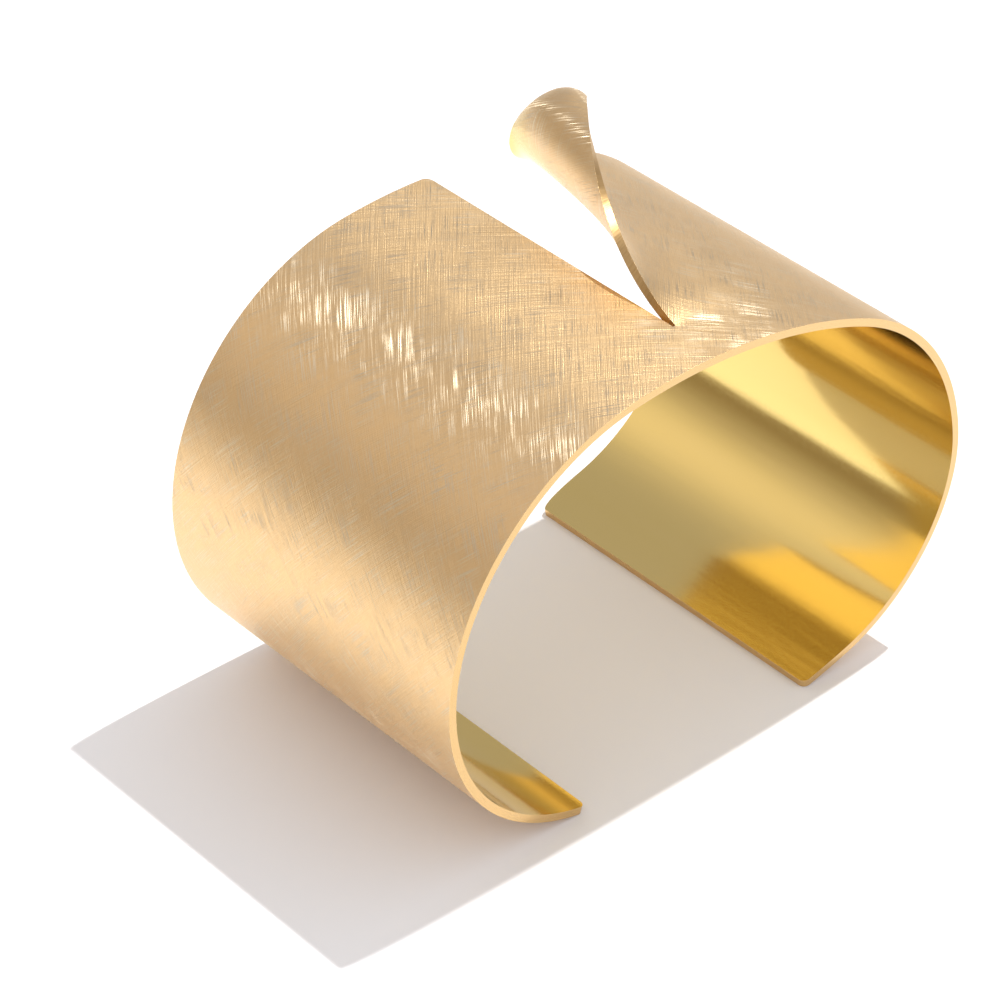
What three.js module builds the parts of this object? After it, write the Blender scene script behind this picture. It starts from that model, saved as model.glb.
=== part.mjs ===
// Cuff bracelet: one strip of sheet brass bent to an open oval, with a slit from the far
// rim whose right side is peeled up and rolled back.
// Millimetres, +Z up. It lies on its two gap edges, on the floor z = 0. X runs across the
// gap, Y along the wrist, and the origin is the middle of the bounding box on the floor.
import * as THREE from 'three';

// The strip before bending
const SHEET = 0.8;
const WIDTH = 36;

// Its rounded corners, by their reach along the strip and across it
const GAP_CORNER = { along: 0.7, across: 0.7 };
const FAR_RIGHT_CORNER = { along: 6, across: 1.1 };
const SLIT_CORNER = { along: 0.8, across: 0.8 };
const FLAP_CORNER = { along: 2.5, across: 2.5 };

// The bent strip's outer side, seen from the near rim: it starts at the left gap edge,
// runs up the left side, over the crown and down the right side to the right gap edge
const START_HEADING = 170.19;
const BENDS = [
  { place: 'left side', radius: 22.2, turn: 160.4 },
  { place: 'crown', radius: 55.8, turn: 30.8 },
  { place: 'right shoulder', radius: 27.2, turn: 53.3 },
  { place: 'right side', radius: 17.4, turn: 86.7 },
  { place: 'right end', radius: 60, turn: 5.7 },
];

// The slit, a saw cut square to the rims
const SLIT_FROM_LEFT_EDGE = 72;
const SLIT_END = 5.4;
const KERF = 0.3;

// The flap right of the slit. Its sections turn outward more and more towards the far rim.
// fade is the length over which the turn dies away, measured back from the cut edge, and
// power is how strongly it gathers at that edge. The roll leans towards the near rim by
// lean millimetres for each millimetre that it is carried to the right.
const FLAP = {
  turn: 257,
  growth: 1.14,
  fadeAtSlitEnd: 60,
  fadeAtRim: 12.6,
  powerAtSlitEnd: 14,
  powerAtRim: 1,
  lean: 0.18,
  reach: 22,
};

// Facets
const BAND_STEP = 2.4;
const FLAP_STEP = 0.6;
const FLAP_ROWS = 26;
const CORNER_STEPS = 5;
const WALK_STEP = 0.05;

const radians = THREE.MathUtils.degToRad;
const lerp = THREE.MathUtils.lerp;
const arcLength = (bend) => bend.radius * radians(bend.turn);
const STRIP_LENGTH = BENDS.reduce((sum, bend) => sum + arcLength(bend), 0);
const SLIT_LEFT = SLIT_FROM_LEFT_EDGE;
const SLIT_RIGHT = SLIT_LEFT + KERF;
const FLAP_FOOT = SLIT_RIGHT + FLAP.reach;

// Point and heading on the outer side, at a length s along the strip. The path turns
// clockwise, so the centre of each bend is on its right and outward is on its left.
function onBand(s) {
  let x = 0;
  let z = 0;
  let heading = radians(START_HEADING);
  let left = s;
  for (const bend of BENDS) {
    const along = Math.min(left, arcLength(bend));
    const next = heading - along / bend.radius;
    x += bend.radius * (Math.sin(heading) - Math.sin(next));
    z += bend.radius * (Math.cos(next) - Math.cos(heading));
    heading = next;
    left -= along;
    if (left <= 0) break;
  }
  return { x, z, heading };
}

// How far a section of the flap has turned outward, fromCut millimetres from the cut edge
function flapTurn(fromCut, opened) {
  const fade = lerp(FLAP.fadeAtSlitEnd, FLAP.fadeAtRim, opened);
  const power = lerp(FLAP.powerAtSlitEnd, FLAP.powerAtRim, opened);
  const kept = Math.max(0, 1 - fromCut / fade) ** power;
  return radians(FLAP.turn) * opened ** FLAP.growth * kept;
}

// Point and heading on the flap's outer side: a walk from its foot towards the cut edge
function onFlap(s, y) {
  const opened = (y - SLIT_END) / (WIDTH - SLIT_END);
  const steps = Math.max(1, Math.round((FLAP_FOOT - s) / WALK_STEP));
  const step = (FLAP_FOOT - s) / steps;
  let { x, z } = onBand(FLAP_FOOT);
  for (let i = 0; i < steps; i += 1) {
    const at = FLAP_FOOT - (i + 0.5) * step;
    const heading = onBand(at).heading - flapTurn(at - SLIT_RIGHT, opened);
    x -= Math.cos(heading) * step;
    z -= Math.sin(heading) * step;
  }
  const unrolled = onBand(s);
  const heading = unrolled.heading - flapTurn(s - SLIT_RIGHT, opened);
  return { x, y: y - FLAP.lean * (x - unrolled.x), z, heading };
}

// The outer and inner point of the wall at (s, y) on the strip
function wallAt(s, y) {
  const rolled = y > SLIT_END && s >= SLIT_RIGHT && s < FLAP_FOOT;
  const at = rolled ? onFlap(s, y) : { ...onBand(s), y };
  return {
    outer: [at.x, at.y, at.z],
    inner: [at.x + SHEET * Math.sin(at.heading), at.y, at.z - SHEET * Math.cos(at.heading)],
  };
}

// How far a rim is set back by a rounded corner, at a distance from the strip's edge
function setBack(fromEdge, corner) {
  const into = Math.max(0, 1 - fromEdge / corner.along);
  return corner.across * (1 - Math.sqrt(1 - into ** 2));
}

// Distances from an edge that follow its rounded corner
function cornerSteps(corner) {
  return Array.from({ length: CORNER_STEPS + 1 },
    (_, i) => corner.along * (1 - Math.cos((i / CORNER_STEPS) * Math.PI / 2)));
}

// Even stations strictly between two lengths along the strip
function between(low, high, step) {
  const count = Math.ceil((high - low) / step);
  return Array.from({ length: count - 1 }, (_, i) => lerp(low, high, (i + 1) / count));
}

// Steps at the right gap edge, whose far corner reaches further in than its near one
const rightEdgeSteps = [
  ...cornerSteps(GAP_CORNER),
  ...cornerSteps(FAR_RIGHT_CORNER).filter((d) => d > GAP_CORNER.along),
];

// The two parts of the strip, and the stations of each from left to right
const LEFT_PART = {
  from: 0,
  to: SLIT_LEFT,
  startCorner: GAP_CORNER,
  endCorner: SLIT_CORNER,
  rowsAbove: () => 1,
  stations: [
    ...cornerSteps(GAP_CORNER),
    ...between(GAP_CORNER.along, SLIT_LEFT - SLIT_CORNER.along, BAND_STEP),
    ...cornerSteps(SLIT_CORNER).map((d) => SLIT_LEFT - d).reverse(),
  ],
};
const RIGHT_PART = {
  from: SLIT_RIGHT,
  to: STRIP_LENGTH,
  startCorner: FLAP_CORNER,
  endCorner: FAR_RIGHT_CORNER,
  rowsAbove: (s) => (s < FLAP_FOOT ? FLAP_ROWS : 1),
  stations: [
    ...cornerSteps(FLAP_CORNER).map((d) => SLIT_RIGHT + d),
    ...between(SLIT_RIGHT + FLAP_CORNER.along, FLAP_FOOT, FLAP_STEP),
    FLAP_FOOT,
    ...between(FLAP_FOOT, STRIP_LENGTH - FAR_RIGHT_CORNER.along, BAND_STEP),
    ...rightEdgeSteps.map((d) => STRIP_LENGTH - d).reverse(),
  ],
};

const positions = [];
const triangles = [];

// One column of wall points at a length s, with its rows from the near rim to the far rim
function column(s, part) {
  const farSetBack = setBack(s - part.from, part.startCorner) + setBack(part.to - s, part.endCorner);
  const farRim = WIDTH - farSetBack;
  const rows = [setBack(Math.min(s, STRIP_LENGTH - s), GAP_CORNER)];
  const count = part.rowsAbove(s);
  for (let i = 0; i <= count; i += 1) rows.push(lerp(SLIT_END, farRim, i / count));
  return rows.map((y) => {
    const wall = wallAt(s, y);
    const outer = positions.push(wall.outer) - 1;
    const inner = positions.push(wall.inner) - 1;
    return { y, outer, inner };
  });
}

function quad(a, b, c, d) {
  triangles.push([a, c, b], [a, d, c]);
}

// The narrow wall between the two sides, along a run of points
function edgeWall(run) {
  for (let i = 1; i < run.length; i += 1) {
    quad(run[i - 1].outer, run[i].outer, run[i].inner, run[i - 1].inner);
  }
}

// Both sides of the wall between two columns, whose rows may differ in number
function stitch(left, right) {
  let i = 0;
  let j = 0;
  while (i < left.length - 1 || j < right.length - 1) {
    const nextLeft = i < left.length - 1 ? left[i + 1].y : Infinity;
    const nextRight = j < right.length - 1 ? right[j + 1].y : Infinity;
    const [a, b] = [left[i], right[j]];
    const c = nextLeft <= nextRight ? left[i += 1] : right[j += 1];
    triangles.push([a.outer, b.outer, c.outer], [a.inner, c.inner, b.inner]);
  }
}

const below = (points) => points.filter((point) => point.y <= SLIT_END);
const above = (points) => points.filter((point) => point.y >= SLIT_END);

// The closed wall of the whole strip: both sides, then the edge all round it
function bandGeometry() {
  const lefts = LEFT_PART.stations.map((s) => column(s, LEFT_PART));
  const rights = RIGHT_PART.stations.map((s) => column(s, RIGHT_PART));
  for (const part of [lefts, rights]) {
    for (let i = 1; i < part.length; i += 1) stitch(part[i - 1], part[i]);
  }
  const slitLeft = lefts.at(-1);
  const slitRight = rights[0];
  stitch(below(slitLeft), below(slitRight));

  const columns = [...lefts, ...rights];
  edgeWall(columns.map((points) => points[0]));
  edgeWall(rights.at(-1));
  edgeWall(rights.map((points) => points.at(-1)).reverse());
  edgeWall(above(slitRight).reverse());
  edgeWall([above(slitRight)[0], above(slitLeft)[0]]);
  edgeWall(above(slitLeft));
  edgeWall(lefts.map((points) => points.at(-1)).reverse());
  edgeWall([...lefts[0]].reverse());

  const geometry = new THREE.BufferGeometry();
  geometry.setAttribute('position', new THREE.Float32BufferAttribute(positions.flat(), 3));
  geometry.setIndex(triangles.flat());
  geometry.computeVertexNormals();
  return geometry;
}

// Moves a geometry so that the middle of its box is over the origin and it stands at z = 0
function standAtOrigin(geometry) {
  geometry.computeBoundingBox();
  const { min, max } = geometry.boundingBox;
  return geometry.translate(-(min.x + max.x) / 2, -(min.y + max.y) / 2, -min.z);
}

const brushedBrass = new THREE.MeshStandardMaterial({
  color: 0xd9b57c,
  roughness: 0.35,
  metalness: 1,
});

const cuffBand = new THREE.Mesh(standAtOrigin(bandGeometry()), brushedBrass);
cuffBand.name = 'cuff_band';

const cuff = new THREE.Group();
cuff.add(cuffBand);

export default cuff;
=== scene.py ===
"""Looks of the cuff bracelet: a fine copy of its bent sheet in brushed and polished brass.

Lengths along the strip are in millimetres, as in the part's source. Blender's are in metres.
"""
import math

import bpy
import numpy as np
from mathutils import Matrix, Vector

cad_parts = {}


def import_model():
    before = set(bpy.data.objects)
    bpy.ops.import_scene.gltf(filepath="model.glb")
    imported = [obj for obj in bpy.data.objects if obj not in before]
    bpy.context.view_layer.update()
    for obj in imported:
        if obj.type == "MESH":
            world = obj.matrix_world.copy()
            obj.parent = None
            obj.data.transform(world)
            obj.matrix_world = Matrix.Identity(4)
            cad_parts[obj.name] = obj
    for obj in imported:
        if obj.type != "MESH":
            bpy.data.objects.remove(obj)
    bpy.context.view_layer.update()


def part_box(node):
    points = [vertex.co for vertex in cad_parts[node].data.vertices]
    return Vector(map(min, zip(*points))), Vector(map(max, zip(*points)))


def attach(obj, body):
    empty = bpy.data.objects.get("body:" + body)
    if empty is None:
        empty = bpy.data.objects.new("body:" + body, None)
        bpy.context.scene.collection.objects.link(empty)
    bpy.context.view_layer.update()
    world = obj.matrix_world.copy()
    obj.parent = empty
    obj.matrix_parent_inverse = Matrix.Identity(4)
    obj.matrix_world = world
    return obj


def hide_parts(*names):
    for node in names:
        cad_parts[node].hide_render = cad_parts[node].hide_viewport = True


MM = 0.001

# The strip, its bends and its slit, as in the part's source
SHEET = 0.8
WIDTH = 36.0
GAP_CORNER = (0.7, 0.7)
FAR_RIGHT_CORNER = (6.0, 1.1)
SLIT_CORNER = (0.8, 0.8)
FLAP_CORNER = (2.5, 2.5)
START_HEADING = 170.19
BENDS = ((22.2, 160.4), (55.8, 30.8), (27.2, 53.3), (17.4, 86.7), (60.0, 5.7))
SLIT_FROM_LEFT_EDGE = 72.0
SLIT_END = 5.4
KERF = 0.3
FLAP_TURN = 257.0
FLAP_GROWTH = 1.14
FLAP_FADE = (60.0, 12.6)
FLAP_POWER = (14.0, 1.0)
FLAP_LEAN = 0.18
FLAP_REACH = 22.0

STRIP_LENGTH = sum(radius * math.radians(turn) for radius, turn in BENDS)
SLIT_RIGHT = SLIT_FROM_LEFT_EDGE + KERF
FLAP_FOOT = SLIT_RIGHT + FLAP_REACH

# The fine mesh
BAND_STEP = 0.7
FLAP_STEP = 0.35
WALK_STEP = 0.05
CORNER_STEPS = 10
ROWS_BELOW_SLIT = 8
ROWS_ABOVE_SLIT = 56
EDGE_RADIUS = 0.07

# Slots of the mesh
OUTSIDE, INSIDE, RIM, CUT = range(4)

# The brushed side's two families of scratches, in degrees from the strip's length
SCRATCH_DOWN = -37.0
SCRATCH_UP = 47.0
GROOVE_ROUGHNESS = 0.5

# The studio. Sizes and distances are in metres.
FLOOR_COLOUR = (0.92, 0.905, 0.925)
FLOOR_SIZE = 0.27
SURROUND_SIZE = 8.0
SURROUND_DROP = 0.0002
KEY_DIRECTION = (0.40, 0.045, 0.92)
KEY_DISTANCE = 3.0
KEY_SIZE = 0.045
KEY_POWER = 63.0
WORLD_STRENGTH = 0.88

# The glow painted on a dome that only reflections see, standing in for a studio's walls and ceiling,
# from the foot up to overhead: painted reflections
DOME_RADIUS = 3.5
DOME_FOOT = -20.0
DOME_BANDS = 40
DOME_SPOKES = 48
DOME_LOW = (0.47, 0.45, 0.43)
DOME_HIGH = (0.49, 0.48, 0.53)
# A dim warm patch painted on the dome at the back left: a painted dark reflection
PAINTED_DARK_REFLECTION_AT = (-0.84, 0.54, -0.12)
PAINTED_DARK_REFLECTION_COLOUR = (0.25, 0.19, 0.12)
# A bright patch painted on the dome above: a painted highlight
PAINTED_HIGHLIGHT_AT = (-0.57, 0.59, 0.57)
PAINTED_HIGHLIGHT_COLOUR = (0.98, 0.90, 0.85)
# The dome's glow below the horizon: a painted reflection of the floor beyond the real floor
PAINTED_FLOOR_REFLECTION_COLOUR = (1.1, 1.1, 1.1)

# The photograph's camera, in millimetres
CAMERA_AT = (-194.64, -173.86, 198.43)
CAMERA_AZIMUTH = -46.75
CAMERA_ELEVATION = 34.82
CAMERA_ROLL = 5.79
CAMERA_LENS = 125.41


def on_band(lengths):
    """x, z and heading on the outer side at each length along the strip."""
    heading = math.radians(START_HEADING)
    x = np.zeros_like(lengths)
    z = np.zeros_like(lengths)
    headings = np.full_like(lengths, heading)
    left = lengths.copy()
    for radius, turn in BENDS:
        along = np.clip(left, 0, radius * math.radians(turn))
        after = headings - along / radius
        x += radius * (np.sin(headings) - np.sin(after))
        z += radius * (np.cos(after) - np.cos(headings))
        headings = after
        left -= along
    return x, z, headings


def flap_turn(from_cut, opened):
    """How far a section of the flap has turned outward, from_cut from the cut edge."""
    fade = FLAP_FADE[0] + (FLAP_FADE[1] - FLAP_FADE[0]) * opened
    power = FLAP_POWER[0] + (FLAP_POWER[1] - FLAP_POWER[0]) * opened
    kept = np.maximum(0, 1 - from_cut / fade) ** power
    return math.radians(FLAP_TURN) * opened ** FLAP_GROWTH * kept


def on_flap(length, y):
    """x, y, z and heading on the flap: a walk from its foot towards the cut edge."""
    opened = (y - SLIT_END) / (WIDTH - SLIT_END)
    count = max(1, round((FLAP_FOOT - length) / WALK_STEP))
    step = (FLAP_FOOT - length) / count
    at = FLAP_FOOT - (np.arange(count) + 0.5) * step
    heading = on_band(at)[2] - flap_turn(at - SLIT_RIGHT, opened)
    foot_x, foot_z, _ = on_band(np.array([FLAP_FOOT]))
    x = foot_x[0] - np.cos(heading).sum() * step
    z = foot_z[0] - np.sin(heading).sum() * step
    band_x, _, band_heading = on_band(np.array([length]))
    turned = band_heading[0] - flap_turn(length - SLIT_RIGHT, opened)
    return x, y - FLAP_LEAN * (x - band_x[0]), z, turned


def wall_at(length, y):
    """The outer and inner point of the sheet at a place on the strip."""
    if y > SLIT_END and SLIT_RIGHT <= length < FLAP_FOOT:
        x, across, z, heading = on_flap(length, y)
    else:
        xs, zs, headings = on_band(np.array([length]))
        x, across, z, heading = xs[0], y, zs[0], headings[0]
    outer = (x, across, z)
    inner = (x + SHEET * math.sin(heading), across, z - SHEET * math.cos(heading))
    return outer, inner


def set_back(from_edge, corner):
    """How far a rim is set back by a corner, given by its reach along and across."""
    along, across = corner
    into = max(0.0, 1 - from_edge / along)
    return across * (1 - math.sqrt(1 - into**2))


def corner_steps(corner):
    """Distances from an edge that follow its rounded corner."""
    turns = np.linspace(0, math.pi / 2, CORNER_STEPS + 1)
    return [corner[0] * (1 - math.cos(turn)) for turn in turns]


def between(low, high, step):
    """Even stations strictly between two lengths."""
    return list(np.linspace(low, high, math.ceil((high - low) / step) + 1)[1:-1])


def left_stations():
    """Stations from the left gap edge to the slit."""
    end = SLIT_FROM_LEFT_EDGE
    return [
        *corner_steps(GAP_CORNER),
        *between(GAP_CORNER[0], end - SLIT_CORNER[0], BAND_STEP),
        *[end - step for step in reversed(corner_steps(SLIT_CORNER))],
    ]


def right_stations():
    """Stations from the slit to the right gap edge."""
    last = corner_steps(GAP_CORNER)
    last += [step for step in corner_steps(FAR_RIGHT_CORNER) if step > GAP_CORNER[0]]
    return [
        *[SLIT_RIGHT + step for step in corner_steps(FLAP_CORNER)],
        *between(SLIT_RIGHT + FLAP_CORNER[0], FLAP_FOOT, FLAP_STEP),
        FLAP_FOOT,
        *between(FLAP_FOOT, STRIP_LENGTH - FAR_RIGHT_CORNER[0], BAND_STEP),
        *[STRIP_LENGTH - step for step in reversed(last)],
    ]


def far_rim(length):
    """Where the far rim is at a length along the strip."""
    if length <= SLIT_FROM_LEFT_EDGE:
        start, end = (length, GAP_CORNER), (SLIT_FROM_LEFT_EDGE - length, SLIT_CORNER)
    else:
        start, end = (length - SLIT_RIGHT, FLAP_CORNER), (STRIP_LENGTH - length, FAR_RIGHT_CORNER)
    return WIDTH - set_back(*start) - set_back(*end)


def rows_at(length):
    """The places across the strip of one column of points."""
    near = set_back(min(length, STRIP_LENGTH - length), GAP_CORNER)
    below = np.linspace(near, SLIT_END, ROWS_BELOW_SLIT + 1)
    above = np.linspace(SLIT_END, far_rim(length), ROWS_ABOVE_SLIT + 1)
    return [*below, *above[1:]]


class Sheet:
    """The bent strip's mesh data, in millimetres, with a strip coordinate at each corner."""

    def __init__(self):
        self.points = []
        self.faces = []
        self.slots = []
        self.coordinates = []

    def column(self, length):
        """Adds one column of points and returns (outer, inner, length, y) for each row."""
        rows = []
        for y in rows_at(length):
            outer, inner = wall_at(length, y)
            self.points += [outer, inner]
            last = len(self.points) - 1
            rows.append((last - 1, last, length, y))
        return rows

    def face(self, corners, coordinates, slot):
        self.faces.append(corners)
        self.coordinates.append(coordinates)
        self.slots.append(slot)

    def sides(self, left, right, rows):
        """Both sides of the sheet between two columns."""
        for row in rows:
            a, b, c, d = left[row], right[row], right[row + 1], left[row + 1]
            places = [(p[2], p[3]) for p in (a, b, c, d)]
            self.face([p[0] for p in (a, b, c, d)], places, OUTSIDE)
            self.face([p[1] for p in (d, c, b, a)], places[::-1], INSIDE)

    def edge(self, run, slot):
        """The narrow wall between the two sides, along a run of points."""
        travelled = 0.0
        for p, q in zip(run[:-1], run[1:]):
            step = math.hypot(q[2] - p[2], q[3] - p[3])
            places = [
                (travelled, 0),
                (travelled, SHEET),
                (travelled + step, SHEET),
                (travelled + step, 0),
            ]
            self.face([p[0], p[1], q[1], q[0]], places, slot)
            travelled += step


def bent_sheet():
    """The whole strip as one closed mesh."""
    sheet = Sheet()
    lefts = [sheet.column(length) for length in left_stations()]
    rights = [sheet.column(length) for length in right_stations()]
    all_rows = range(ROWS_BELOW_SLIT + ROWS_ABOVE_SLIT)
    for part in (lefts, rights):
        for left, right in zip(part[:-1], part[1:]):
            sheet.sides(left, right, all_rows)
    sheet.sides(lefts[-1], rights[0], range(ROWS_BELOW_SLIT))
    end = ROWS_BELOW_SLIT
    sheet.edge([column[0] for column in lefts + rights], RIM)
    sheet.edge(rights[-1], RIM)
    sheet.edge([column[-1] for column in rights][::-1], RIM)
    sheet.edge(rights[0][end:][::-1], CUT)
    sheet.edge([rights[0][end], lefts[-1][end]], CUT)
    sheet.edge(lefts[-1][end:], CUT)
    sheet.edge([column[-1] for column in lefts][::-1], RIM)
    sheet.edge(lefts[0][::-1], RIM)
    return sheet


def over_node(points, node):
    """The points in metres, moved so that their box has the node's middle and foot."""
    low, high = (np.array(corner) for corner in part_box(node))
    points = np.array(points) * MM
    shift = (low + high) / 2 - (points.min(axis=0) + points.max(axis=0)) / 2
    shift[2] = low[2] - points[:, 2].min()
    return points + shift


def cuff_object(materials):
    """The dressed cuff, with softly rounded edges."""
    sheet = bent_sheet()
    mesh = bpy.data.meshes.new("brushed_cuff")
    mesh.from_pydata(over_node(sheet.points, "cuff_band").tolist(), [], sheet.faces)
    for material in materials:
        mesh.materials.append(material)
    mesh.polygons.foreach_set("material_index", sheet.slots)
    mesh.polygons.foreach_set("use_smooth", [True] * len(sheet.faces))
    strip_map = mesh.uv_layers.new(name="strip")
    flat = [value for face in sheet.coordinates for place in face for value in place]
    strip_map.data.foreach_set("uv", flat)
    mesh.update()
    cuff = bpy.data.objects.new("brushed_cuff", mesh)
    bpy.context.scene.collection.objects.link(cuff)
    rounding = cuff.modifiers.new("edges", "BEVEL")
    rounding.width = EDGE_RADIUS * MM
    rounding.segments = 3
    rounding.limit_method = "ANGLE"
    rounding.angle_limit = math.radians(50)
    rounding.harden_normals = True
    return cuff


class Nodes:
    """Short names for making and joining the nodes of one material."""

    def __init__(self, name):
        self.material = bpy.data.materials.new(name)
        self.material.use_nodes = True
        self.tree = self.material.node_tree
        self.shader = self.tree.nodes["Principled BSDF"]

    def add(self, kind, inputs=(), **settings):
        node = self.tree.nodes.new(kind)
        for key, value in settings.items():
            setattr(node, key, value)
        for key, value in dict(inputs).items():
            self.put(node.inputs[key], value)
        return node

    def put(self, socket, value):
        if isinstance(value, bpy.types.NodeSocket):
            self.tree.links.new(value, socket)
        else:
            socket.default_value = value

    def metal(self, colour, roughness, normal, shader=None):
        """Sets a shader, the first one unless another is given, to bare metal."""
        shader = shader or self.shader
        self.put(shader.inputs["Base Color"], colour)
        self.put(shader.inputs["Metallic"], 1.0)
        self.put(shader.inputs["Roughness"], roughness)
        self.put(shader.inputs["Normal"], normal)
        return shader

    def math(self, operation, *values):
        node = self.tree.nodes.new("ShaderNodeMath")
        node.operation = operation
        for socket, value in zip(node.inputs, values):
            self.put(socket, value)
        return node.outputs[0]

    def strip(self):
        """The strip coordinate, in millimetres."""
        return self.add("ShaderNodeUVMap", uv_map="strip").outputs["UV"]

    def streaks(self, angle, length, width, seed, detail=2.0):
        """Noise drawn out along a direction on the strip, in degrees from its length."""
        turned = self.add(
            "ShaderNodeVectorRotate",
            {"Vector": self.strip(), "Angle": math.radians(-angle)},
            rotation_type="Z_AXIS",
        )
        stretched = self.add(
            "ShaderNodeVectorMath",
            {0: turned.outputs[0], 1: (1 / length, 1 / width, 1)},
            operation="MULTIPLY",
        )
        noise = self.add(
            "ShaderNodeTexNoise",
            {"Vector": stretched.outputs[0], "W": seed, "Scale": 1.0, "Detail": detail},
            noise_dimensions="4D",
        )
        return noise.outputs[0]

    def clouds(self, size, seed, detail=3.0):
        """Soft round noise on the strip."""
        return self.streaks(0, size, size, seed, detail)

    def remap(self, value, low, high, to_low=0.0, to_high=1.0):
        node = self.add(
            "ShaderNodeMapRange",
            {0: value, 1: low, 2: high, 3: to_low, 4: to_high},
            clamp=True,
        )
        return node.outputs[0]

    def colours(self, value, first, second):
        """A mix of two colours."""
        node = self.add("ShaderNodeMix", {0: value}, data_type="RGBA")
        node.inputs[6].default_value = (*first, 1)
        node.inputs[7].default_value = (*second, 1)
        return node.outputs[2]

    def bump(self, height, depth, normal=None):
        """A bump whose height of 1 is depth millimetres."""
        inputs = {"Height": height, "Strength": 1.0, "Distance": depth * MM}
        if normal is not None:
            inputs["Normal"] = normal
        return self.add("ShaderNodeBump", inputs).outputs[0]

    def joined(self, mask, first, second):
        """The first shader where the mask is 0 and the second where it is 1."""
        return self.add("ShaderNodeMixShader", {0: mask, 1: first, 2: second}).outputs[0]

    def grooves(self, angle, colour):
        """Metal that spreads light across grooves at an angle on the strip."""
        tangent = self.add("ShaderNodeTangent", direction_type="UV_MAP", uv_map="strip")
        groove = self.add("ShaderNodeBsdfPrincipled")
        groove.inputs["Base Color"].default_value = (*colour, 1)
        groove.inputs["Metallic"].default_value = 1.0
        groove.inputs["Roughness"].default_value = GROOVE_ROUGHNESS
        groove.inputs["Anisotropic"].default_value = 1.0
        groove.inputs["Anisotropic Rotation"].default_value = (angle + 90) / 360 % 1
        self.put(groove.inputs["Tangent"], tangent.outputs[0])
        return groove.outputs[0]

    def scratches(self, angle, seed):
        """1 on short bright scratches that lie in loose patches, and 0 between them."""
        lines = self.remap(self.streaks(angle, 5, 0.075, seed, 1.0), 0.52, 0.66)
        patches = self.remap(self.clouds(2.2, seed + 0.5), 0.42, 0.6, 0.15, 0.9)
        return self.math("MULTIPLY", lines, patches)

    def finish(self, shader):
        """Shows a shader's output as the surface."""
        self.put(self.tree.nodes["Material Output"].inputs["Surface"], shader)


def brushed(nodes, shader=None):
    """Metal under two crossing families of fine straight scratches."""
    hatch_down = nodes.streaks(SCRATCH_DOWN, 12, 0.10, 1.0)
    hatch_up = nodes.streaks(SCRATCH_UP, 9, 0.10, 2.0)
    worn = nodes.clouds(7, 5.0)
    colour = nodes.colours(worn, (0.87, 0.60, 0.30), (0.94, 0.67, 0.35))
    roughness = nodes.remap(worn, 0.3, 0.7, 0.37, 0.42)
    normal = nodes.bump(nodes.math("ADD", hatch_down, hatch_up), 0.03)
    metal = nodes.metal(colour, roughness, normal, shader).outputs[0]
    for angle, seed in ((SCRATCH_DOWN, 3.0), (SCRATCH_UP, 4.0)):
        mask = nodes.scratches(angle, seed)
        metal = nodes.joined(mask, metal, nodes.grooves(angle, (0.97, 0.84, 0.62)))
    return metal


def polished(nodes):
    """Smooth metal with the faint ripple of rolled sheet."""
    ripple = nodes.streaks(90, 20, 2.5, 6.0)
    grain = nodes.clouds(0.25, 7.0)
    normal = nodes.bump(grain, 0.0015, nodes.bump(ripple, 0.02))
    colour = nodes.colours(ripple, (0.87, 0.65, 0.22), (0.89, 0.67, 0.25))
    roughness = nodes.remap(grain, 0.3, 0.7, 0.10, 0.16)
    return nodes.metal(colour, roughness, normal).outputs[0]


def brushed_brass():
    nodes = Nodes("brushed_brass")
    nodes.finish(brushed(nodes))
    return nodes.material


def inside_brass():
    """Polished inside the cuff, and brushed where the flap turns the inside outward."""
    nodes = Nodes("polished_brass")
    place = nodes.add("ShaderNodeSeparateXYZ", {0: nodes.strip()})
    from_foot = nodes.remap(place.outputs["X"], SLIT_RIGHT + 9, SLIT_RIGHT + 5)
    from_slit_end = nodes.remap(place.outputs["Y"], SLIT_END + 4, SLIT_END + 10)
    flap = nodes.math("MULTIPLY", from_foot, from_slit_end)
    flap = nodes.math("MULTIPLY", flap, nodes.remap(place.outputs["X"], SLIT_RIGHT - 0.2, SLIT_RIGHT))
    satin = nodes.add("ShaderNodeBsdfPrincipled")
    nodes.finish(nodes.joined(flap, polished(nodes), brushed(nodes, satin)))
    return nodes.material


def rim_brass():
    """The rims' narrow faces: filed smooth and lightly worn."""
    nodes = Nodes("rim_brass")
    filed = nodes.streaks(0, 3, 0.12, 8.0)
    colour = nodes.colours(filed, (0.70, 0.47, 0.20), (0.80, 0.55, 0.26))
    nodes.metal(colour, nodes.remap(filed, 0.3, 0.7, 0.2, 0.3), nodes.bump(filed, 0.004))
    return nodes.material


def cut_brass():
    """The slit's sawn faces: darker, with the saw's marks across the sheet."""
    nodes = Nodes("cut_brass")
    sawn = nodes.streaks(90, 1.5, 0.15, 9.0)
    colour = nodes.colours(sawn, (0.55, 0.33, 0.12), (0.8, 0.55, 0.26))
    nodes.metal(colour, nodes.remap(sawn, 0.3, 0.7, 0.32, 0.45), nodes.bump(sawn, 0.02))
    return nodes.material


def stage_plane(name, size, colour, z):
    """A matt level square that isn't part of the object."""
    mesh = bpy.data.meshes.new(name)
    half = size / 2
    corners = [(-half, -half, z), (half, -half, z), (half, half, z), (-half, half, z)]
    mesh.from_pydata(corners, [], [(0, 1, 2, 3)])
    plane = bpy.data.objects.new(name, mesh)
    bpy.context.scene.collection.objects.link(plane)
    nodes = Nodes(name)
    nodes.put(nodes.shader.inputs["Base Color"], (*colour, 1))
    nodes.put(nodes.shader.inputs["Roughness"], 1.0)
    nodes.put(nodes.shader.inputs["Specular IOR Level"], 0.0)
    mesh.materials.append(nodes.material)
    return plane


def toward(direction, place):
    """1 straight at a place on the dome, and 0 at a right angle to it or beyond."""
    return max(0.0, direction.dot(Vector(place).normalized()))


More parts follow.
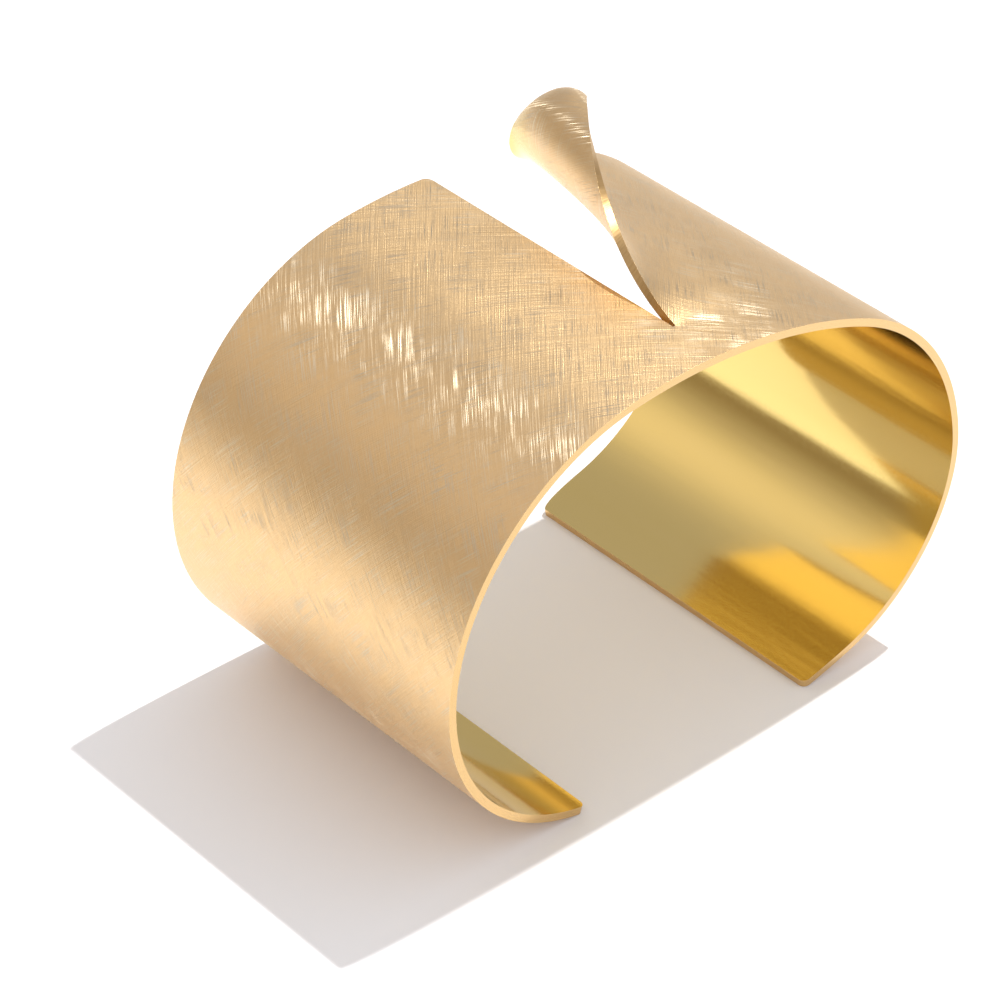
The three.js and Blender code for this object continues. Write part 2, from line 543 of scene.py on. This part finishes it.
def dome_glow(direction):
    """The dome's painted glow in a direction: a painted dark reflection, warm and dim, at the back
    left, a painted highlight from a bright patch above, and a painted floor reflection below.
    """
    height = max(0.0, direction.z)
    neutral = Vector(DOME_LOW).lerp(Vector(DOME_HIGH), min(1.0, height / 0.8))
    # Painted dark reflection towards the back left, fading upward
    painted_dark_reflection = min(1.0, 1.5 * toward(direction, PAINTED_DARK_REFLECTION_AT) ** 2) * (1 - height) ** 2
    colour = neutral.lerp(Vector(PAINTED_DARK_REFLECTION_COLOUR), painted_dark_reflection)
    # Painted highlight from a bright patch above
    colour = colour.lerp(Vector(PAINTED_HIGHLIGHT_COLOUR), toward(direction, PAINTED_HIGHLIGHT_AT) ** 14)
    # Painted floor reflection below the horizon, dimmer at the back left
    below = min(1.0, max(0.0, -direction.z) / 0.12)
    return colour.lerp(Vector(PAINTED_FLOOR_REFLECTION_COLOUR), below * (1 - 0.55 * painted_dark_reflection))


def dome_directions():
    """Directions over the dome, ring by ring from its foot."""
    directions = []
    for band in range(DOME_BANDS + 1):
        rise = math.radians(DOME_FOOT + (90 - DOME_FOOT) * band / DOME_BANDS)
        flat = math.cos(rise)
        for spoke in range(DOME_SPOKES):
            turn = 2 * math.pi * spoke / DOME_SPOKES
            directions.append(Vector((flat * math.cos(turn), flat * math.sin(turn), math.sin(rise))))
    return directions


def dome_faces():
    faces = []
    for band in range(DOME_BANDS):
        for spoke in range(DOME_SPOKES):
            a = band * DOME_SPOKES + spoke
            b = band * DOME_SPOKES + (spoke + 1) % DOME_SPOKES
            faces.append((a, b, b + DOME_SPOKES, a + DOME_SPOKES))
    return faces


def dome_material():
    """Glows with the colour that is painted on the dome's points."""
    nodes = Nodes("dome")
    painted = nodes.add("ShaderNodeVertexColor", layer_name="glow")
    nodes.put(nodes.shader.inputs["Base Color"], (0, 0, 0, 1))
    nodes.put(nodes.shader.inputs["Specular IOR Level"], 0.0)
    nodes.put(nodes.shader.inputs["Emission Color"], painted.outputs["Color"])
    nodes.put(nodes.shader.inputs["Emission Strength"], 1.0)
    return nodes.material


def reflected_dome():
    """A glowing dome that only reflections see, painting reflections in place of a studio's walls and
    ceiling.
    """
    directions = dome_directions()
    mesh = bpy.data.meshes.new("dome")
    mesh.from_pydata([point * DOME_RADIUS for point in directions], [], dome_faces())
    glow = mesh.color_attributes.new("glow", "FLOAT_COLOR", "POINT")
    colours = [(*dome_glow(direction), 1.0) for direction in directions]
    glow.data.foreach_set("color", [value for colour in colours for value in colour])
    mesh.materials.append(dome_material())
    dome = bpy.data.objects.new("dome", mesh)
    bpy.context.scene.collection.objects.link(dome)
    # Hidden from the camera, diffuse light and shadows, so its glow shows only as painted reflections
    dome.visible_camera = False
    dome.visible_diffuse = False
    dome.visible_shadow = False


def soft_light(name, direction, distance, size, power):
    """A round area light that faces the origin."""
    data = bpy.data.lights.new(name, "AREA")
    data.shape = "DISK"
    data.size = size
    data.energy = power
    light = bpy.data.objects.new(name, data)
    aim = Vector(direction).normalized()
    light.location = aim * distance
    light.rotation_euler = aim.to_track_quat("Z", "Y").to_euler()
    bpy.context.scene.collection.objects.link(light)


def world_light(strength):
    """Even white light from all round."""
    world = bpy.data.worlds.new("studio")
    world.use_nodes = True
    background = world.node_tree.nodes["Background"]
    background.inputs["Color"].default_value = (1, 1, 1, 1)
    background.inputs["Strength"].default_value = strength
    bpy.context.scene.world = world


def photo_camera():
    """The camera at the photograph's place, angle and lens."""
    azimuth, elevation, roll = (
        math.radians(angle) for angle in (CAMERA_AZIMUTH, CAMERA_ELEVATION, CAMERA_ROLL)
    )
    forward = Vector(
        (
            -math.sin(azimuth) * math.cos(elevation),
            math.cos(azimuth) * math.cos(elevation),
            -math.sin(elevation),
        )
    )
    level = Vector((math.cos(azimuth), math.sin(azimuth), 0))
    upright = level.cross(forward)
    right = level * math.cos(roll) + upright * math.sin(roll)
    up = upright * math.cos(roll) - level * math.sin(roll)
    data = bpy.data.cameras.new("camera")
    data.lens = CAMERA_LENS
    data.sensor_width = 36
    data.clip_start = 0.01
    camera = bpy.data.objects.new("camera", data)
    turn = Matrix((right, up, -forward)).transposed().to_4x4()
    camera.matrix_world = Matrix.Translation(Vector(CAMERA_AT) * MM) @ turn
    bpy.context.scene.collection.objects.link(camera)
    bpy.context.scene.camera = camera


def main():
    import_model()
    photo_camera()
    cuff = cuff_object([brushed_brass(), inside_brass(), rim_brass(), cut_brass()])
    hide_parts("cuff_band")
    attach(cuff, "root")
    stage_plane("floor", FLOOR_SIZE, FLOOR_COLOUR, 0.0)
    surround = stage_plane("surround", SURROUND_SIZE, FLOOR_COLOUR, -SURROUND_DROP)
    surround.visible_glossy = False
    reflected_dome()
    soft_light("key", KEY_DIRECTION, KEY_DISTANCE, KEY_SIZE, KEY_POWER)
    world_light(WORLD_STRENGTH)
    bpy.context.scene.view_settings.view_transform = "Standard"


main()
